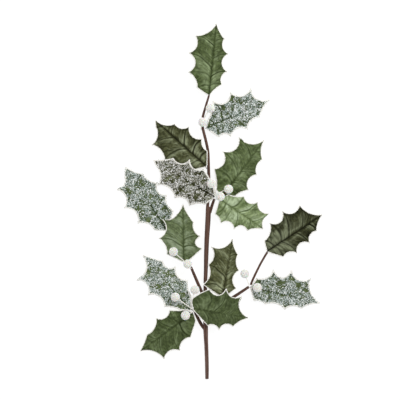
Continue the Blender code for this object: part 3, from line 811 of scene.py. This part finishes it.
def wrapped_tube(name, points, wrap, material, sides=10, spacing=0.6, capped=True, fork=0.0):
    """A tube with the helical laps of its tape, lengthwise creases, and the lobes of the wires inside it.

    Over the last fork millimetres it flattens and draws in at the waist, to part into two stems.
    """
    rings = rings_along(smooth_path(points, spacing))
    whole = rings[-1][4]
    places, laps, lays = [], [], []
    for centre, side, rise, radius, distance in rings:
        parting = eased(distance, whole - fork, whole) if fork else 0.0
        for corner in range(sides):
            angle = 2 * math.pi * corner / sides
            round_x, round_y = math.cos(angle), math.sin(angle)
            lap = (distance / wrap.pitch + corner / sides) % 1.0
            crease = noise.noise(Vector((2.2 * round_x, 2.2 * round_y, distance * 0.04)))
            lobe = math.cos(wrap.lobes * (angle + distance * 0.009)) if wrap.lobes else 0.0
            reach = radius * (1.0 + 0.05 * lobe) + wrap.step * (lap - 0.5) + wrap.crease * crease
            reach *= 1.0 - 0.3 * parting * bell(round_x, 0.35)
            spot = centre + (side * round_x + rise * round_y * (1.0 - 0.4 * parting)) * reach
            spot.z = max(spot.z, 0.0)
            places.append(spot)
            # painted shade: dark at each lap's edge, in the creases and in the valleys between the wires
            # inside
            dark = wrap.shade * max(bell(lap, 0.12), bell(1.0 - lap, 0.12))
            dark += 0.6 * eased(-crease, 0.15, 0.5)
            laps.append(dark + 0.7 * eased(-lobe, 0.55, 1.0))
            lays.extend((round_x * radius * MM, round_y * radius * MM, distance * MM))
    faces = grid_faces(len(rings), sides, closed=True)
    if capped:
        for ring, turn in ((0, -1), (len(rings) - 1, 1)):
            hub = len(places)
            places.append(rings[ring][0])
            laps.append(0.6)
            lays.extend((0.0, 0.0, rings[ring][4] * MM))
            faces += [(ring * sides + corner, ring * sides + (corner + 1) % sides, hub)[::turn]
                      for corner in range(sides)]
    return add_piece(name, make_mesh(name, places, [], faces, {"wrap": laps}, {"lay": lays}), material)


# ---- Geometry Nodes trees ----
def grain_nodes(add, points, size, spread, seed):
    """A faceted grain on every point, turned and sized at random, and a number for each grain's shade."""
    turn = add("FunctionNodeRandomValue", {"Min": (0, 0, 0), "Max": (math.tau,) * 3, "Seed": seed},
               data_type="FLOAT_VECTOR")
    shape = add("FunctionNodeRandomValue", {"Min": (0.7, 0.7, 0.55), "Max": (1.1, 1.1, 0.9), "Seed": 11},
                data_type="FLOAT_VECTOR")
    least = add("ShaderNodeMath", {0: size, 1: spread}, operation="MULTIPLY")
    bulk = add("FunctionNodeRandomValue", {"Min": least, "Max": size, "Seed": 7})
    scale = add("ShaderNodeVectorMath", {"Vector": shape, "Scale": bulk}, operation="SCALE")
    strewn = add("GeometryNodeInstanceOnPoints", {
        "Points": points, "Instance": add("GeometryNodeMeshIcoSphere"), "Rotation": turn, "Scale": scale})
    shade = add("FunctionNodeRandomValue", {"Min": 0.0, "Max": 1.0, "Seed": 19})
    marked = add("GeometryNodeStoreNamedAttribute", {"Geometry": strewn, "Name": "grain", "Value": shade},
                 domain="INSTANCE")
    return add("GeometryNodeRealizeInstances", {"Geometry": marked})


def glitter_tree():
    """Grains strewn over a leaf's upper face, thin along the veins and in bare patches."""
    tree, add, given = new_tree("strewn_glitter", {
        "Density": "Float", "Grain Radius": "Float", "Lift": "Float", "Seed": "Int", "Material": "Material"})
    vein, bare = [add("GeometryNodeInputNamedAttribute", {"Name": label}) for label in ("vein", "bare")]
    cloud = add("ShaderNodeTexNoise", {
        "Vector": add("GeometryNodeInputPosition"), "Scale": 1.0 / (6.0 * MM), "Detail": 3.0})
    patch = add("ShaderNodeMapRange", {
        "Value": cloud, "From Min": 0.40, "From Max": 0.53, "To Min": 0.3, "To Max": 1.0})
    clear = add("ShaderNodeMapRange", {
        "Value": vein, "From Min": 0.1, "From Max": 0.5, "To Min": 1.0, "To Max": 0.08})
    thick = add("ShaderNodeMath", {0: patch, 1: clear}, operation="MULTIPLY")
    for factor in (add("ShaderNodeMath", {0: 1.0, 1: bare}, operation="SUBTRACT"), given["Density"]):
        thick = add("ShaderNodeMath", {0: thick, 1: factor}, operation="MULTIPLY")
    strewn = add("GeometryNodeDistributePointsOnFaces", {
        "Mesh": given["Geometry"], "Density": thick, "Seed": given["Seed"]})
    raised = add("GeometryNodeSetPosition", {
        "Geometry": strewn, "Offset": add("ShaderNodeCombineXYZ", {"Z": given["Lift"]})})
    grains = grain_nodes(add, raised, given["Grain Radius"], 0.4, 3)
    dressed = add("GeometryNodeSetMaterial", {"Geometry": grains, "Material": given["Material"]})
    add("NodeGroupOutput", {"Geometry": dressed})
    return tree


def frost_tree():
    """A lumpy bead of flock along an edge, with loose grains stuck on it, none of it below the table."""
    tree, add, given = new_tree("frosted_edge", {
        "Bead Radius": "Float", "Grain Radius": "Float", "Grain Spacing": "Float", "Scatter": "Float",
        "Seed": "Int", "Material": "Material", "Grain Material": "Material"})
    place = add("GeometryNodeInputPosition")
    line = add("GeometryNodeMeshToCurve", {"Mesh": given["Geometry"]})
    even = add("GeometryNodeResampleCurve", {"Curve": line, "Length": 0.6 * MM}, mode="LENGTH")
    ring = add("GeometryNodeCurvePrimitiveCircle", {"Resolution": 7, "Radius": given["Bead Radius"]})
    bead = add("GeometryNodeCurveToMesh", {"Curve": even, "Profile Curve": ring, "Fill Caps": True})
    cloud = add("ShaderNodeTexNoise", {"Vector": place, "Scale": 1.0 / (1.6 * MM), "Detail": 2.0})
    swell = add("ShaderNodeMapRange", {
        "Value": cloud, "From Min": 0.3, "From Max": 0.7, "To Min": -0.25 * MM, "To Max": 0.25 * MM})
    push = add("ShaderNodeVectorMath", {"Vector": add("GeometryNodeInputNormal"), "Scale": swell},
               operation="SCALE")
    lumpy = add("GeometryNodeSetPosition", {"Geometry": bead, "Offset": push})
    smooth = add("GeometryNodeSetShadeSmooth", {"Geometry": lumpy})

    spots = add("GeometryNodeCurveToPoints", {"Curve": even, "Length": given["Grain Spacing"]}, mode="LENGTH")
    far = given["Scatter"]
    near = add("ShaderNodeMath", {0: far, 1: -1.0}, operation="MULTIPLY")
    low, high = [add("ShaderNodeCombineXYZ", {"X": end, "Y": end, "Z": end}) for end in (near, far)]
    stray = add("FunctionNodeRandomValue", {"Min": low, "Max": high, "Seed": given["Seed"]},
                data_type="FLOAT_VECTOR")
    loose = add("GeometryNodeSetPosition", {"Geometry": spots, "Offset": stray})
    grains = grain_nodes(add, loose, given["Grain Radius"], 0.5, 5)
    both = add("GeometryNodeJoinGeometry", {"Geometry": [smooth, grains]})

    spot = add("ShaderNodeSeparateXYZ", {"Vector": place}).outputs
    above = add("ShaderNodeMath", {0: spot["Z"], 1: 0.0}, operation="MAXIMUM")
    kept = add("ShaderNodeCombineXYZ", {"X": spot["X"], "Y": spot["Y"], "Z": above})
    laid = add("GeometryNodeSetPosition", {"Geometry": both, "Position": kept})
    crust = add("GeometryNodeSetMaterial", {"Geometry": laid, "Material": given["Material"]})
    dressed = add("GeometryNodeSetMaterial", {
        "Geometry": crust, "Selection": add("GeometryNodeInputNamedAttribute", {"Name": "grain"}),
        "Material": given["Grain Material"]})
    add("NodeGroupOutput", {"Geometry": dressed})
    return tree


def bead_tree():
    """Small round beads packed over a foam ball, which stays in sight between them."""
    tree, add, given = new_tree("beaded_ball", {
        "Bead Radius": "Float", "Closest": "Float", "Seed": "Int", "Material": "Material"})
    ball = given["Geometry"]
    packed = add("GeometryNodeDistributePointsOnFaces", {
        "Mesh": ball, "Distance Min": given["Closest"], "Density Max": 3.0e6, "Seed": given["Seed"]},
        distribute_method="POISSON")
    bead = add("GeometryNodeMeshUVSphere", {"Segments": 8, "Rings": 5, "Radius": given["Bead Radius"]})
    size = add("FunctionNodeRandomValue", {"Min": 0.82, "Max": 1.12, "Seed": 5})
    beads = add("GeometryNodeInstanceOnPoints", {
        "Points": packed, "Instance": add("GeometryNodeSetShadeSmooth", {"Geometry": bead}),
        "Rotation": packed.outputs["Rotation"], "Scale": size})
    real = add("GeometryNodeRealizeInstances", {"Geometry": beads})
    # the foam ball is marked for the painted shade between the beads
    core = add("GeometryNodeStoreNamedAttribute", {"Geometry": ball, "Name": "hollow", "Value": 1.0})
    both = add("GeometryNodeJoinGeometry", {"Geometry": [core, real]})
    dressed = add("GeometryNodeSetMaterial", {"Geometry": both, "Material": given["Material"]})
    add("NodeGroupOutput", {"Geometry": dressed})
    return tree


# ---- settings ----
def colour_setting(name, description, hex_colour):
    """A colour that a user may change."""
    return bpy.props.FloatVectorProperty(name=name, description=description, subtype="COLOR", size=4,
                                         min=0.0, max=1.0, default=linear(hex_colour))


def length_setting(name, description, millimetres):
    """A length that a user may change, kept in metres."""
    return bpy.props.FloatProperty(name=name, description=description, unit="LENGTH", min=0.0,
                                   default=millimetres * MM, precision=5)


def number_setting(name, description, default, unit="NONE"):
    """A number above zero that a user may change."""
    return bpy.props.FloatProperty(name=name, description=description, default=default, min=0.0, unit=unit)


class HollyLeafSettings(bpy.types.PropertyGroup):
    """Cloth and dyes of the leaves."""
    thickness: length_setting("Thickness", "Velvet and backing together", LEAF_THICKNESS)
    __annotations__.update({
        f"{dye}_{part}": colour_setting(f"{dye.title()} {part}", note, colour)
        for dye, colours in DYES.items() for (part, note), colour in zip(PILE_PARTS.items(), colours)})


class HollyFrostSettings(bpy.types.PropertyGroup):
    """Flock on the edges and glitter on the faces."""
    bead: length_setting("Edge bead", "Radius of the flock along a plain leaf's edge", 0.65)
    glitter_bead: length_setting("Glittered edge bead", "The same along a glittered leaf's edge", 1.05)
    edge_grain: length_setting("Edge grain", "Largest loose grain on an edge", 0.55)
    edge_spacing: length_setting("Edge spacing", "Distance between loose grains", 0.55)
    grain: length_setting("Glitter grain", "Largest grain, coarser than real ones so that it shows", 1.0)
    density: number_setting("Glitter density", "Grains on a square millimetre", 1.9)


class HollyBerrySettings(bpy.types.PropertyGroup):
    """Beads of the berries, coarser than real ones so that they show."""
    bead: length_setting("Bead radius", "One bead on a berry", 0.58)
    closest: length_setting("Closest beads", "Least distance between two beads' middles", 0.92)


class HollyStemSettings(bpy.types.PropertyGroup):
    """Tape on the stems."""
    light: colour_setting("Tape, light", "Dusty tape", "#775d54")
    middle: colour_setting("Tape", "The tape's own brown", "#604539")
    # the dark colour is also that of the painted shade along laps, creases and between the wires
    dark: colour_setting("Tape, overlaps", "Laps and creases", "#3e2a20")


class HollyStageSettings(bpy.types.PropertyGroup):
    """Light table, lamps and camera."""
    lens: bpy.props.FloatProperty(name="Lens", description="Focal length in millimetres", default=200.0,
                                  subtype="DISTANCE_CAMERA")
    view_width: length_setting("View width", "How much of the table the camera takes in", 515.6)
    sky: number_setting("Sky", "Strength of the even light", 0.52)
    glow: number_setting("Table glow", "Strength of the light table", 0.9)
    key: number_setting("Key light", "The large lamp", 22.0, "POWER")
    fill: number_setting("Fill light", "The lamp across from it", 3.0, "POWER")


# ---- operators ----
class HOLLY_OT_stage(bpy.types.Operator):
    """Lay the light table, and set the lamps, the even light and the camera that looks down on the spray"""
    bl_idname = "holly.stage"
    bl_label = "Studio"

    def execute(self, context):
        settings = context.scene.holly_stage
        link = context.scene.collection.objects.link
        corners = [Vector((x * TABLE_REACH, y * TABLE_REACH, -TABLE_GAP))
                   for x, y in ((-1, -1), (1, -1), (1, 1), (-1, 1))]
        table = make_mesh("floor", corners, [], [(0, 1, 2, 3)])
        add_piece("floor", table, light_table(settings.glow))

        # places and sizes in metres
        for name, place, size, power in (("key_lamp", (0.7, 0.9, 1.6), 1.1, settings.key),
                                         ("fill_lamp", (-1.0, -0.6, 1.4), 1.3, settings.fill)):
            light = bpy.data.lights.new(name, "AREA")
            light.shape = "DISK"
            light.size = size
            light.energy = power
            lamp = bpy.data.objects.new(name, light)
            lamp.location = place
            lamp.rotation_euler = Vector(place).to_track_quat("Z", "Y").to_euler()
            link(lamp)

        world = bpy.data.worlds.new("even_light")
        world.use_nodes = True
        feed(world.node_tree.nodes["Background"], {"Color": grey(1.0), "Strength": settings.sky})
        context.scene.world = world
        context.scene.view_settings.view_transform = "Standard"

        camera = bpy.data.cameras.new("camera")
        camera.lens = settings.lens
        camera.clip_start = 0.05
        camera.clip_end = 20.0
        middle = (CAD_BOX[0] + CAD_BOX[1]) / 2
        eye = bpy.data.objects.new("camera", camera)
        eye.location = (middle.x + VIEW_OFFSET[0] * MM, middle.y + VIEW_OFFSET[1] * MM,
                        settings.view_width * settings.lens / camera.sensor_width)
        link(eye)
        context.scene.camera = eye
        return {"FINISHED"}


class HOLLY_OT_leaves(bpy.types.Operator):
    """Press the fourteen velvet leaves with their veins, and back them with felt"""
    bl_idname = "holly.leaves"
    bl_label = "Leaves"

    def execute(self, context):
        settings = context.scene.holly_leaves
        backing = felt_backing()
        cloths = {}
        for dye in DYES:
            pile = [getattr(settings, f"{dye}_{part}") for part in PILE_PARTS]
            cloths[dye] = velvet(f"pressed_velvet_{dye}", *pile)
        for leaf in LEAVES:
            piece = add_piece(leaf.name + "_velvet", leaf_mesh(leaf), cloths[leaf.dye])
            piece.data.materials.append(backing)
            cloth = piece.modifiers.new("cloth", "SOLIDIFY")
            cloth.thickness = settings.thickness
            cloth.offset = 0.0
            cloth.material_offset = 1
            mount(piece, [leaf.name])
            cut_area(leaf)
        return {"FINISHED"}


class HOLLY_OT_frost(bpy.types.Operator):
    """Run a crust of white flock along every leaf's edge"""
    bl_idname = "holly.frost"
    bl_label = "Frosted edges"

    def execute(self, context):
        settings = context.scene.holly_frost
        tree = frost_tree()
        flock = frost_flock()
        glasses = glass_for_dyes("rim_glass_glitter_")
        for number, leaf in enumerate(LEAVES):
            plain = leaf.slot != GLITTER_SLOT
            line = leaf_outline(leaf, shift=VELVET_EDGE_SHIFT if plain else GLITTER_EDGE_SHIFT)
            mesh = make_mesh("edge_line", line, [(i, i + 1) for i in range(len(line) - 1)])
            piece = grown(leaf.name + "_frosted_edge", mesh, tree, {
                "Bead Radius": settings.bead if plain else settings.glitter_bead,
                "Grain Radius": settings.edge_grain,
                "Grain Spacing": settings.edge_spacing * (1.0 if plain else GLITTER_EDGE_SPREAD),
                "Scatter": (VELVET_EDGE_SCATTER if plain else GLITTER_EDGE_SCATTER) * MM,
                "Seed": number, "Material": flock, "Grain Material": flock if plain else glasses[leaf.dye]})
            mount(piece)
        return {"FINISHED"}


class HOLLY_OT_glitter(bpy.types.Operator):
    """Strew crushed glass over the five glittered leaves"""
    bl_idname = "holly.glitter"
    bl_label = "Glitter"

    def execute(self, context):
        settings = context.scene.holly_frost
        tree = glitter_tree()
        glasses = glass_for_dyes("crushed_glass_glitter_")
        for number, leaf in enumerate(LEAVES):
            if leaf.slot != GLITTER_SLOT:
                continue
            piece = grown(leaf.name + "_glitter", leaf_mesh(leaf, glittered=True), tree, {
                "Density": settings.density / (MM * MM), "Grain Radius": settings.grain,
                "Lift": 0.55 * LEAF_THICKNESS * MM, "Seed": 40 + number, "Material": glasses[leaf.dye]})
            mount(piece)
        return {"FINISHED"}


class HOLLY_OT_leaf_wires(bpy.types.Operator):
    """Run a taped wire under each leaf's midrib, and the long bare twig to the far right leaf"""
    bl_idname = "holly.leaf_wires"
    bl_label = "Leaf wires"

    def execute(self, context):
        tape = context.scene.holly_stems
        paper = stem_tape("crepe_tape_on_wire", tape.middle, tape.middle, tape.dark)
        for leaf in LEAVES:
            radius = TWIG_RADIUS if leaf.name == TWIG else LEAF_WIRE_RADIUS
            points = [(*place, radius) for place in leaf.wire]
            drop = 0.5 * LEAF_THICKNESS + LEAF_WIRE_GAP + radius
            for step in range(LEAF_WIRE_STEPS + 1):
                share = LEAF_WIRE_START + (LEAF_WIRE_REACH - LEAF_WIRE_START) * step / LEAF_WIRE_STEPS
                along = length_of(leaf) * share
                height = max(leaf_height(leaf, along, 0.0), 0.5 * LEAF_THICKNESS) - drop
                points.append((*in_frame(leaf, along, 0.0, max(height, radius)), radius))
            piece = wrapped_tube(wire_of(leaf) + "_taped", points, LEAF_WIRE_WRAP, paper)
            mount(piece, [wire_of(leaf)])
        return {"FINISHED"}


class HOLLY_OT_berries(bpy.types.Operator):
    """Cover the twelve foam balls with small white beads"""
    bl_idname = "holly.berries"
    bl_label = "Berries"

    def execute(self, context):
        settings = context.scene.holly_berries
        tree = bead_tree()
        styrene = pearl_beads()
        for number, (centre, _, _) in enumerate(BERRIES):
            ball = bmesh.new()
            radius = BERRY_RADIUS * MM - BEAD_SINK * settings.bead
            place = Matrix.Translation(Vector(centre) * MM)
            bmesh.ops.create_icosphere(ball, subdivisions=3, radius=radius, matrix=place)
            mesh = bpy.data.meshes.new("foam_ball")
            ball.to_mesh(mesh)
            ball.free()
            mesh.shade_smooth()
            node = f"berry_{number + 1:02d}"
            piece = grown(node + "_beaded", mesh, tree, {
                "Bead Radius": settings.bead, "Closest": settings.closest, "Seed": number,
                "Material": styrene})
            mount(piece, [node])
        return {"FINISHED"}


class HOLLY_OT_stalks(bpy.types.Operator):
    """Bend a thin cream wire from the stems to every berry"""
    bl_idname = "holly.stalks"
    bl_label = "Berry stalks"

    def execute(self, context):
        paper = stalk_paper()
        for number, row in enumerate(BERRIES):
            centre, root, bend = map(Vector, row)
            end = centre + (bend - centre).normalized() * (BERRY_RADIUS - STALK_BITE)
            points = []
            for step in range(STALK_STEPS + 1):
                t = step / STALK_STEPS
                place = root * (1 - t) ** 2 + bend * 2 * t * (1 - t) + end * t ** 2
                points.append((*place, STALK_RADIUS))
            node = f"berry_stalk_{number + 1:02d}"
            mount(wrapped_tube(node + "_papered", points, STALK_WRAP, paper), [node])
        return {"FINISHED"}


class HOLLY_OT_stems(bpy.types.Operator):
    """Wind brown crepe tape round the main stem and its branches"""
    bl_idname = "holly.stems"
    bl_label = "Stems"

    def execute(self, context):
        tape = context.scene.holly_stems
        paper = stem_tape("brown_crepe_tape", tape.light, tape.middle, tape.dark)
        for node, points in STEMS.items():
            hollow = node == HOLLOW_STEM
            options = {"spacing": 0.7, "capped": False, "fork": FORK_LENGTH} if hollow else {}
            wrap = STEM_WRAPS.get(node, BRANCH_WRAP)
            piece = wrapped_tube(node + "_taped", points, wrap, paper, STEM_SIDES, **options)
            if hollow:
                wall = piece.modifiers.new("tape", "SOLIDIFY")
                wall.thickness = TAPE_WALL * MM
                wall.offset = -1.0
            mount(piece, [node])
        return {"FINISHED"}


class HOLLY_OT_core(bpy.types.Operator):
    """Give the steel core, seen at the cut end, its finish"""
    bl_idname = "holly.core"
    bl_label = "Steel core"

    def execute(self, context):
        steel = core_steel()
        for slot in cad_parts["main_stem_core_wire"].material_slots:
            slot.material = steel
        return {"FINISHED"}


class HOLLY_PT_panel(bpy.types.Panel):
    """The spray's settings and the steps that make it"""
    bl_idname = "HOLLY_PT_panel"
    bl_label = "Holly Spray"
    bl_space_type = "VIEW_3D"
    bl_region_type = "UI"
    bl_category = "Holly"

    def draw(self, context):
        for group in SETTINGS:
            box = self.layout.box()
            owner = getattr(context.scene, group)
            for name in owner.bl_rna.properties.keys():
                if name not in ("rna_type", "name"):
                    box.prop(owner, name)
        for operator in OPERATORS:
            self.layout.operator(operator.bl_idname)


SETTINGS = {
    "holly_leaves": HollyLeafSettings,
    "holly_frost": HollyFrostSettings,
    "holly_berries": HollyBerrySettings,
    "holly_stems": HollyStemSettings,
    "holly_stage": HollyStageSettings,
}
OPERATORS = (HOLLY_OT_stage, HOLLY_OT_leaves, HOLLY_OT_frost, HOLLY_OT_glitter, HOLLY_OT_leaf_wires,
             HOLLY_OT_berries, HOLLY_OT_stalks, HOLLY_OT_stems, HOLLY_OT_core)


def register():
    for group, settings in SETTINGS.items():
        bpy.utils.register_class(settings)
        setattr(bpy.types.Scene, group, bpy.props.PointerProperty(type=settings))
    for cls in (*OPERATORS, HOLLY_PT_panel):
        bpy.utils.register_class(cls)


def unregister():
    for cls in (HOLLY_PT_panel, *reversed(OPERATORS)):
        bpy.utils.unregister_class(cls)
    for group, settings in SETTINGS.items():
        delattr(bpy.types.Scene, group)
        bpy.utils.unregister_class(settings)


def main():
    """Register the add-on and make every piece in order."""
    register()
    for operator in OPERATORS:
        getattr(bpy.ops.holly, operator.bl_idname.removeprefix("holly."))()


if __name__ == "__main__":
    main()
